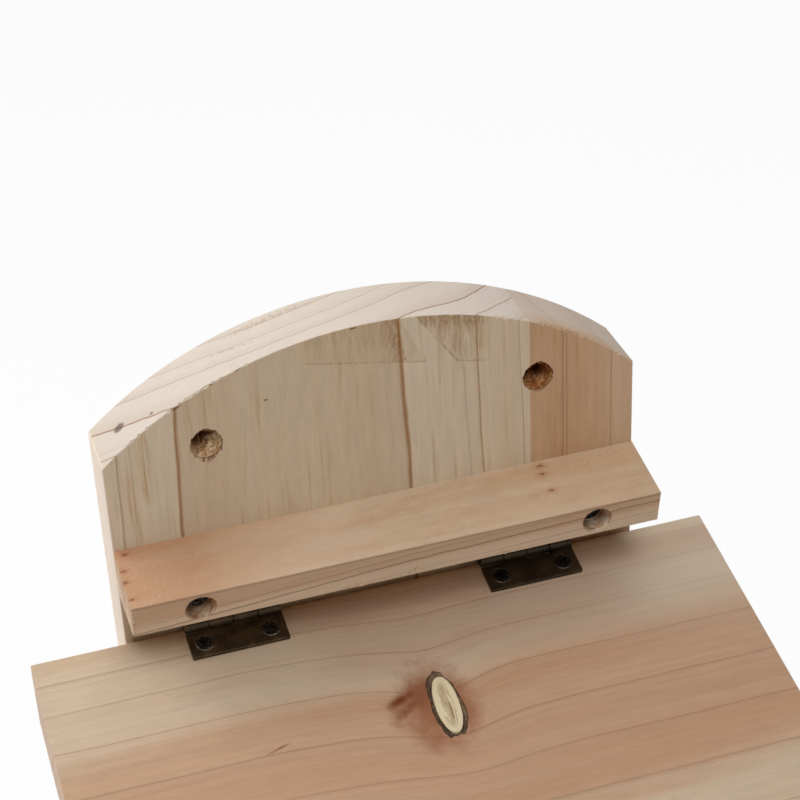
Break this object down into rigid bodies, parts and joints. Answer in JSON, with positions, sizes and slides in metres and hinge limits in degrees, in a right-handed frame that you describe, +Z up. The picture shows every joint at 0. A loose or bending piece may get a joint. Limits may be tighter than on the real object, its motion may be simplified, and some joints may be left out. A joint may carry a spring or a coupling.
{
  "type": "birdhouse",
  "caption": "Wooden bird nest box with an arched backboard for hanging, a sloping lid on butt hinges under a rain batten, and a round entrance hole in the front.",
  "frame": {"origin": "on the flat base, at the centre of the box's footprint", "axes": "+Z up, -Y to the front with the entrance hole, +Y to the wall, +X to the right seen from the front; the lid is closed"},
  "size_m": [0.185, 0.1662, 0.3126],
  "materials": {
    "back_wood": "planed softwood, unfinished",
    "batten_wood": "sawn softwood, unfinished",
    "roof_wood": "planed softwood, unfinished",
    "wall_wood": "planed softwood, unfinished",
    "dark_bronze": "antique bronze plating, worn",
    "black_screw": "black oxide"
  },
  "bodies": {
    "box": {"backboard": "back_wood", "batten": "batten_wood", "batten_screws": "black_screw", "front_panel": "wall_wood", "left_side": "wall_wood", "right_side": "wall_wood", "floor": "wall_wood", "left_hinge_back_leaf": "dark_bronze", "left_hinge_pin": "dark_bronze", "left_hinge_back_screws": "black_screw", "right_hinge_back_leaf": "dark_bronze", "right_hinge_pin": "dark_bronze", "right_hinge_back_screws": "black_screw", "left_back_screws": "black_screw", "right_back_screws": "black_screw", "left_front_screws": "black_screw", "right_front_screws": "black_screw", "left_floor_screws": "black_screw", "right_floor_screws": "black_screw"},
    "lid": {"roof": "roof_wood", "left_hinge_roof_leaf": "dark_bronze", "left_hinge_roof_screws": "black_screw", "right_hinge_roof_leaf": "dark_bronze", "right_hinge_roof_screws": "black_screw"}
  },
  "joints": [
    {"name": "lid_hinge", "type": "hinge", "parent": "box", "child": "lid", "pos_m": [0, 0.0506, 0.23466], "axis": [-1, 0, 0], "range_deg": [0, 55]}
  ]
}
